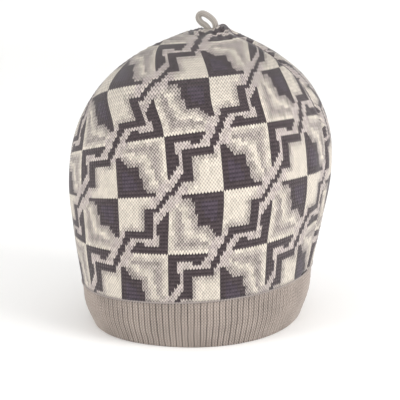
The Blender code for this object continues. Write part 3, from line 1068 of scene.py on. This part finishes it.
def plain_knit(name, yarn, gap_shade, bump_distance, mottle):
    """A one-colour knit: the stitch relief again, with painted shade in its gaps, over yarn whose colour
    drifts a little.
    """
    material, tree = new_material(name)
    relief = stitch_relief(tree, fuzz=0.6)
    place = tree.nodes.new("ShaderNodeTexCoord")
    drift = noise_node(tree, place.outputs["Object"], DRIFT_SCALE, detail=2.0)
    depth = tree.nodes.new("ShaderNodeAttribute")
    depth.attribute_name = "Groove"
    # Painted shade in the gaps between stitches.
    shade = math_node(tree, "MULTIPLY_ADD", relief["Gap"], -gap_shade, 1.0)
    shade = math_node(tree, "MULTIPLY_ADD", relief["Fibre"], PLAIN_FIBRE_SHADE, shade)
    shade = math_node(tree, "MULTIPLY_ADD", math_node(tree, "SUBTRACT", drift, 0.5), mottle, shade)
    shade = math_node(tree, "MULTIPLY_ADD", depth.outputs["Fac"], -GROOVE_SHADE, shade)
    finish_wool(tree, shaded_yarn(tree, yarn, shade), relief["Height"], bump_distance)
    return material


rib_knit = plain_knit("rib_knit", RIB_YARN, gap_shade=0.50, bump_distance=0.00035, mottle=0.45)

# %% [markdown]
# In a rib one wale stands forward beside one that falls back, which is why a ribbed band is springy. The
# base is a plain closed ring with rounded edges. Each of its corners knows its rib, its course and the way
# out.

# %% Ring of the band
RIB_PITCH = 0.00222
COLUMNS_PER_RIB = 6
RIB_COURSE = 0.0023
EDGE_ROUND = 0.0010


def even_turns(run, count):
    """Turns that divide the ring at this run into equal lengths."""
    fine = np.linspace(0.0, tau, 2881)
    length = length_along(form(np.full(fine.shape, run), fine)[0])
    return np.interp(np.arange(count) / count * length[-1], length, fine), length[-1]


ring_length = even_turns(BORDER_RUN / 2, 8)[1]
RIBS = 2 * round(ring_length / RIB_PITCH / 2)


def band_section():
    """Once round the band's wall: run up the side, depth into the wall, and share of the rib relief."""
    top = BORDER_RUN - EDGE_ROUND
    rounding = [((1 - cos(a)) * EDGE_ROUND, sin(a) * EDGE_ROUND) for a in np.radians((30, 60, 90))]
    section = [(run, 0.0, 1.0) for run in np.linspace(EDGE_ROUND, top, 24)]
    section += [(top + up, into, 0.8) for into, up in rounding]
    section += [(top + up, BAND_WALL - into, 0.3) for into, up in rounding[::-1]]
    section += [(run, BAND_WALL, -0.45) for run in np.linspace(top, EDGE_ROUND, 9)]
    section += [(EDGE_ROUND - up, BAND_WALL - into, 0.3) for into, up in rounding]
    section += [(EDGE_ROUND - up, into, 0.8) for into, up in rounding[::-1]]
    return np.array(section)


def add_numbers(mesh, name, values):
    layer = mesh.attributes.new(name, "FLOAT", "POINT")
    layer.data.foreach_set("value", values.astype(np.float32).ravel())


def add_vectors(mesh, name, values):
    layer = mesh.attributes.new(name, "FLOAT_VECTOR", "POINT")
    layer.data.foreach_set("vector", values.astype(np.float32).ravel())


def band_ring():
    """The band before its ribs are pushed in, as a closed ring."""
    section = band_section()
    columns = RIBS * COLUMNS_PER_RIB
    turns = even_turns(BORDER_RUN / 2, columns)[0]
    run, turn = np.meshgrid(section[:, 0], turns, indexing="ij")
    points, out = form(run, turn)
    out[..., 2] = 0.0
    out /= np.linalg.norm(out, axis=-1, keepdims=True)
    points = points - out * section[:, 1, None, None]
    tall = len(section)
    number = np.arange(tall * columns).reshape(tall, columns)
    right = np.roll(number, -1, axis=1)
    above = np.roll(number, -1, axis=0)
    faces = np.stack([number, right, np.roll(right, -1, axis=0), above], axis=-1).reshape(-1, 4)
    mesh = bpy.data.meshes.new("band_ring")
    mesh.from_pydata(points.reshape(-1, 3).tolist(), [], faces.tolist())
    mesh.update()
    course = run / RIB_COURSE
    add_numbers(mesh, "rib", np.broadcast_to(np.arange(columns) / COLUMNS_PER_RIB, number.shape))
    add_numbers(mesh, "course", course)
    add_numbers(mesh, "share", np.broadcast_to(section[:, 2, None], number.shape))
    add_vectors(mesh, "way_out", out)
    uv = mesh.uv_layers.new(name="Stitches")
    columns_of = faces % columns
    across = columns_of / COLUMNS_PER_RIB
    across[:, 1:3] = np.where(columns_of[:, 1:3] == 0, RIBS, across[:, 1:3])
    up = course.reshape(-1)[faces]
    last = (faces // columns)[:, 0] == tall - 1
    up[last] = 0.5
    uv.data.foreach_set("uv", np.stack([across, up], axis=-1).astype(np.float32).ravel())
    mesh.shade_smooth()
    print("ribs round the band", RIBS)
    return add_object("band_ring", mesh)


# %% [markdown]
# The node tree pushes each corner of the ring in or out: grooves between the ribs, and stitches up each
# rib. A texture could only paint them, and they show at the rim, where the edge is scalloped. Every second
# groove is deeper, so the ribs go in pairs, as in a two-by-two rib, and a little noise makes them sway as
# soft knit does.

# %% Ribs
RIB_SWAY = 0.5
SWAY_SCALE = 130.0
PAIRING = 0.22
GROOVE_EDGE = 1.5


def rib_relief_tree():
    tree, enter, leave = node_tree("rib_relief", "Rib Depth", "Stitch Depth")
    sway = math_node(tree, "SUBTRACT", noise_node(tree, None, SWAY_SCALE, detail=1.0), 0.5)
    rib = math_node(tree, "MULTIPLY_ADD", sway, RIB_SWAY, read_attribute(tree, "rib", "FLOAT"))
    ridge = math_node(tree, "ABSOLUTE", scaled(tree, "SINE", rib, pi))
    deeper = math_node(tree, "MULTIPLY_ADD", scaled(tree, "COSINE", rib, pi), PAIRING, 1.0 - PAIRING)
    groove = math_node(tree, "MULTIPLY", math_node(tree, "SUBTRACT", 1.0, ridge), deeper)
    stitch = scaled(tree, "SINE", read_attribute(tree, "course", "FLOAT"), tau)
    depth = math_node(tree, "MULTIPLY", groove, enter["Rib Depth"])
    swell = math_node(tree, "MULTIPLY", math_node(tree, "MULTIPLY", stitch, ridge), enter["Stitch Depth"])
    relief = math_node(tree, "SUBTRACT", swell, depth)
    move = math_node(tree, "MULTIPLY", relief, read_attribute(tree, "share", "FLOAT"))
    ribbed = push(tree, enter["Geometry"], read_attribute(tree, "way_out", "FLOAT_VECTOR"), move)
    ribbed = store_attribute(tree, ribbed, "Groove", math_node(tree, "POWER", groove, GROOVE_EDGE))
    end_tree(tree, ribbed, leave, rib_knit)
    return tree


rib_sizes = {"Rib Depth": 0.0011, "Stitch Depth": 0.0001}
band_knit = grow("band_knit", band_ring(), rib_relief_tree(), rib_sizes)
stands_for(band_knit, "rib_knit", "band")

# %% [markdown]
# ## Linking and seam stitches
# A linking machine joins crown to band loop by loop, which leaves a fine chain round the border. A like
# chain lies in the valley over the crown, where the two panels are sewn. Both are one small stitch of a few
# dozen faces, repeated along a line. A swept curve would give a smooth cord, with no stitches to be seen in
# it.


# %% One stitch of a chain
def chain_yarn(name, colour):
    """Sewing yarn, with a noise that is finer than its stitches."""
    material, tree = new_material(name)
    place = tree.nodes.new("ShaderNodeTexCoord")
    twist = noise_node(tree, place.outputs["Object"], scale=1400.0, detail=2.0)
    colour = shaded_yarn(tree, colour, math_node(tree, "MULTIPLY_ADD", twist, 0.7, 0.65))
    finish_wool(tree, colour, twist, bump_distance=0.0001, bump_strength=1.0, roughness=0.9, sheen=0.2)
    return material


# Place along the stitch and thickness there, as shares of its length and of its full thickness.
BEAD_RINGS = ((-0.55, 0.10), (-0.38, 0.62), (-0.10, 1.0), (0.18, 0.92), (0.42, 0.50), (0.60, 0.06))
BEAD_SIDES = 7
BEAD_HALF_WIDTH = 0.30
BEAD_HALF_HEIGHT = 0.24


def stitch_bead():
    """One stitch of a chain: a short, flattened, pointed length of yarn, a unit long, along X."""
    bm = bmesh.new()
    rings = []
    for x, size in BEAD_RINGS:
        ring = []
        for side in range(BEAD_SIDES):
            angle = tau * side / BEAD_SIDES
            place = (x, cos(angle) * size * BEAD_HALF_WIDTH, sin(angle) * size * BEAD_HALF_HEIGHT)
            ring.append(bm.verts.new(place))
        rings.append(ring)
    for lower, upper in zip(rings, rings[1:]):
        for side in range(BEAD_SIDES):
            after = (side + 1) % BEAD_SIDES
            bm.faces.new((lower[side], lower[after], upper[after], upper[side]))
    bm.faces.new(rings[0][::-1])
    bm.faces.new(rings[-1])
    bmesh.ops.recalc_face_normals(bm, faces=bm.faces)
    mesh = bpy.data.meshes.new("stitch_bead")
    bm.to_mesh(mesh)
    bm.free()
    mesh.shade_smooth()
    return add_object("stitch_bead", mesh)


# %% [markdown]
# The line that carries a chain is a row of evenly spaced points. Each point knows which way is out of the
# cloth and which way is along it, so the tree can set each stitch upright on the cloth and lean it a little
# aside.


# %% Chains of stitches
def guide(name, places, ways_out, closed):
    """A mesh line of evenly spaced places, each with its way out of the cloth and its way along."""
    along = np.roll(places, -1, axis=0) - np.roll(places, 1, axis=0)
    if not closed:
        along[0], along[-1] = places[1] - places[0], places[-1] - places[-2]
    mesh = bpy.data.meshes.new(name)
    mesh.from_pydata(places.tolist(), [], [])
    add_vectors(mesh, "way_out", ways_out)
    add_vectors(mesh, "along", along)
    return add_object(name, mesh)


def join_axes(tree, **axes):
    node = tree.nodes.new("ShaderNodeCombineXYZ")
    for axis, value in axes.items():
        tree.links.new(value, node.inputs[axis])
    return node.outputs[0]


def chain_tree(bead, material):
    """Sets a bead on each point of a guide, with Z out of the cloth and X along the guide, and leans it."""
    tree, enter, leave = node_tree("stitch_chain", "Stitch Length", "Stitch Width", "Lean")
    face_out = tree.nodes.new("FunctionNodeAlignRotationToVector")
    face_out.axis = "Z"
    tree.links.new(read_attribute(tree, "way_out", "FLOAT_VECTOR"), face_out.inputs["Vector"])
    face_along = tree.nodes.new("FunctionNodeAlignRotationToVector")
    face_along.axis = "X"
    face_along.pivot_axis = "Z"
    tree.links.new(face_out.outputs[0], face_along.inputs["Rotation"])
    tree.links.new(read_attribute(tree, "along", "FLOAT_VECTOR"), face_along.inputs["Vector"])
    turn = tree.nodes.new("FunctionNodeEulerToRotation")
    tree.links.new(join_axes(tree, Z=enter["Lean"]), turn.inputs[0])
    lean = tree.nodes.new("FunctionNodeRotateRotation")
    lean.rotation_space = "LOCAL"
    tree.links.new(face_along.outputs[0], lean.inputs["Rotation"])
    tree.links.new(turn.outputs[0], lean.inputs["Rotate By"])
    size = join_axes(tree, X=enter["Stitch Length"], Y=enter["Stitch Width"], Z=enter["Stitch Width"])
    source = tree.nodes.new("GeometryNodeObjectInfo")
    source.inputs["Object"].default_value = bead
    spread = tree.nodes.new("GeometryNodeInstanceOnPoints")
    tree.links.new(enter["Geometry"], spread.inputs["Points"])
    tree.links.new(source.outputs["Geometry"], spread.inputs["Instance"])
    tree.links.new(lean.outputs[0], spread.inputs["Rotation"])
    tree.links.new(size, spread.inputs["Scale"])
    end_tree(tree, spread.outputs[0], leave, material)
    return tree


bead = stitch_bead()

# %% [markdown]
# The linking chain follows the oval just above the border. Its steps are worked out from the oval's own
# length, so that the last stitch meets the first.

# %% Linking chain
LINK_PITCH = 0.0021
LINK_ABOVE_BORDER = 0.0007
LINK_LIFT = 0.00015
link_run = BORDER_RUN + LINK_ABOVE_BORDER
link_turns, link_length = even_turns(link_run, round(even_turns(link_run, 8)[1] / LINK_PITCH))
link_places, link_out = form(np.full(link_turns.shape, link_run), link_turns)
links = grow(
    "linking_chain",
    guide("linking_guide", link_places + link_out * LINK_LIFT, link_out, closed=True),
    chain_tree(bead, chain_yarn("linking_yarn", (0.30, 0.262, 0.245))),
    {"Stitch Length": 0.0024, "Stitch Width": 0.0022, "Lean": radians(22)},
)
stands_for(links, "rib_knit")
print("linking stitches", len(link_places), "along %.0f mm" % (link_length * 1e3))

# %% [markdown]
# The seam chain lies in the valley halfway between the edges of the two panels, from the border on the left
# over the peak to the border on the right. Its dark yarn is partly its own colour and partly painted shade
# of the seam's valley.

# %% Seam chain
SEAM_START = 0.001


def seam_line(lift, pitch):
    """Even places along the seam from the border on the left, over the peak, to the border on the right."""
    runs = np.linspace(BORDER_RUN + SEAM_START, PEAK_RUN, 500)
    level = np.full(runs.shape, lift)
    halves = []
    for turn in (pi, 0.0):
        front, back = (cloth_places(runs, np.full(runs.shape, turn), side, level) for side in (-1, 1))
        halves.append(0.5 * (front + back))
    left, right = halves
    line = np.vstack([left, right[::-1][1:]])
    length = length_along(line)
    even = np.arange(0.0, length[-1], pitch)
    places = np.stack([np.interp(even, length, line[:, axis]) for axis in range(3)], axis=-1)
    along = np.gradient(places, axis=0)
    ways_out = np.stack([-along[:, 2], np.zeros(len(even)), along[:, 0]], axis=-1)
    return places, ways_out


seam_places, seam_out = seam_line(lift=0.0001, pitch=0.0016)
seam_chain = grow(
    "seam_chain",
    guide("seam_guide", seam_places, seam_out, closed=False),
    # Dark seam yarn: partly its own colour, partly painted shade of the valley in which the seam lies.
    chain_tree(bead, chain_yarn("seam_yarn_and_shade", (0.13, 0.105, 0.115))),
    {"Stitch Length": 0.0019, "Stitch Width": 0.0017, "Lean": radians(14)},
)
stands_for(seam_chain, "jacquard_knit")
bpy.data.objects.remove(bead, do_unlink=True)
print("seam stitches", len(seam_places))

# %% [markdown]
# ## The hanging loop
# The loop is a narrow knitted cord, sewn into the seam at both ends, where the cloth of the panels hides
# them. Its route is a few given points, as a soft cord follows no rule, with a smooth curve through them.
# Their heights start from the frame's own box for the loop, so the cord stays where its solid is.

# %% Route of the loop
LOOP_LENGTH = 0.0102
LOOP_HEIGHT = 0.0114
LOOP_ASIDE = 0.0012
LEG_ASIDE = 0.235
LEAST_LEG = 0.62
END_LIFT = 0.0001
POINTS_PER_STRETCH = 8
# Aside from the middle of the loop and up from its root, as shares of its length and height.
LOOP_ROUTE = (
    (-0.50, 0.26),
    (-0.80, 0.42),
    (-1.00, 0.67),
    (-0.94, 0.91),
    (-0.66, 1.00),
    (-0.26, 0.85),
    (0.08, 0.60),
    (0.25, 0.33),
)
loop_low, loop_high = (Vector(corner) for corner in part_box("hang_loop"))
root_z = loop_high.z - LOOP_HEIGHT - LOOP_CORD / 2
root_x = PEAK_ASIDE + LOOP_ASIDE
leg = max(LEG_ASIDE * LOOP_LENGTH, LEAST_LEG * LOOP_CORD)
end_heights = (loop_low.z + END_LIFT, loop_low.z + LOOP_CORD / 8)
points = [(root_x - leg, height) for height in end_heights]
points += [(root_x + aside * LOOP_LENGTH, root_z + up * LOOP_HEIGHT) for aside, up in LOOP_ROUTE]
points += [(root_x + leg, height) for height in end_heights[::-1]]
route = through(points, POINTS_PER_STRETCH)

path = bpy.data.curves.new("loop_route", "CURVE")
path.dimensions = "3D"
spline = path.splines.new("POLY")
spline.points.add(len(route) - 1)
for point, (x, z) in zip(spline.points, route):
    point.co = (x, PEAK_BACK, z, 1.0)
loop_path = add_object("loop_route", path)
print("length of the loop's cord %.1f mm" % (length_along(route)[-1] * 1e3))

# %% [markdown]
# A circle is swept along the route, and the tree presses a fine knit into the tube: wales along the cord,
# and the slanting legs of stitches round it. It has to know the distance along the route and the share
# round the circle at each point of the tube, so both are captured before the sweep, and they also make its
# map of stitches.

# %% Hanging loop
LOOP_YARN = (0.46, 0.42, 0.38)
LOOP_RELIEF_ROOM = 0.0003
CORD_SIDES = 40


def capture(tree, geometry, name, value):
    """Keeps a value on each point of the geometry, for use after it has changed."""
    node = tree.nodes.new("GeometryNodeCaptureAttribute")
    node.domain = "POINT"
    node.capture_items.new("FLOAT", name)
    tree.links.new(geometry, node.inputs["Geometry"])
    tree.links.new(value, node.inputs[name])
    return node.outputs["Geometry"], node.outputs[name]


def cord_tree(material):
    sizes = ("Cord Diameter", "Relief", "Wales Round", "Stitch Length", "Ring Spacing")
    tree, enter, leave = node_tree("knitted_cord", *sizes)
    even = tree.nodes.new("GeometryNodeResampleCurve")
    even.mode = "LENGTH"
    tree.links.new(enter["Geometry"], even.inputs["Curve"])
    tree.links.new(enter["Ring Spacing"], even.inputs["Length"])
    along = tree.nodes.new("GeometryNodeSplineParameter")
    line, length = capture(tree, even.outputs[0], "Length", along.outputs["Length"])
    circle = tree.nodes.new("GeometryNodeCurvePrimitiveCircle")
    circle.inputs["Resolution"].default_value = CORD_SIDES
    tree.links.new(math_node(tree, "MULTIPLY", enter["Cord Diameter"], 0.5), circle.inputs["Radius"])
    around = tree.nodes.new("GeometryNodeSplineParameter")
    ring, share = capture(tree, circle.outputs[0], "Round", around.outputs["Factor"])
    sweep = tree.nodes.new("GeometryNodeCurveToMesh")
    sweep.inputs["Fill Caps"].default_value = True
    tree.links.new(line, sweep.inputs["Curve"])
    tree.links.new(ring, sweep.inputs["Profile Curve"])
    wale = math_node(tree, "MULTIPLY", share, enter["Wales Round"])
    course = math_node(tree, "DIVIDE", length, enter["Stitch Length"])
    from_middle = from_wale_middle(tree, wale)
    leg_wave = scaled(tree, "SINE", from_middle, tau)
    bead_wave = scaled(tree, "SINE", math_node(tree, "SUBTRACT", course, from_middle), tau)
    beaded = math_node(tree, "MULTIPLY", leg_wave, bead_wave)
    height = math_node(tree, "MULTIPLY_ADD", beaded, 0.5, leg_wave)
    swell = math_node(tree, "MULTIPLY", height, enter["Relief"])
    normal = tree.nodes.new("GeometryNodeInputNormal")
    cord = push(tree, sweep.outputs[0], normal.outputs[0], swell)
    cord = store_attribute(tree, cord, "Groove", math_node(tree, "SUBTRACT", 1.0, leg_wave))
    cord = store_attribute(tree, cord, "Stitches", join_axes(tree, X=wale, Y=course), "FLOAT2", "CORNER")
    smooth = tree.nodes.new("GeometryNodeSetShadeSmooth")
    tree.links.new(cord, smooth.inputs["Geometry"])
    end_tree(tree, smooth.outputs[0], leave, material)
    return tree


loop_knit = plain_knit("loop_knit", LOOP_YARN, gap_shade=0.30, bump_distance=0.0002, mottle=0.20)
hang_loop = grow(
    "loop_cord",
    loop_path,
    cord_tree(loop_knit),
    {
        "Cord Diameter": LOOP_CORD - LOOP_RELIEF_ROOM,
        "Relief": 0.00022,
        "Wales Round": 5.0,
        "Stitch Length": 0.0014,
        "Ring Spacing": 0.00025,
    },
)
stands_for(hang_loop, "loop_cord", "hang_loop")
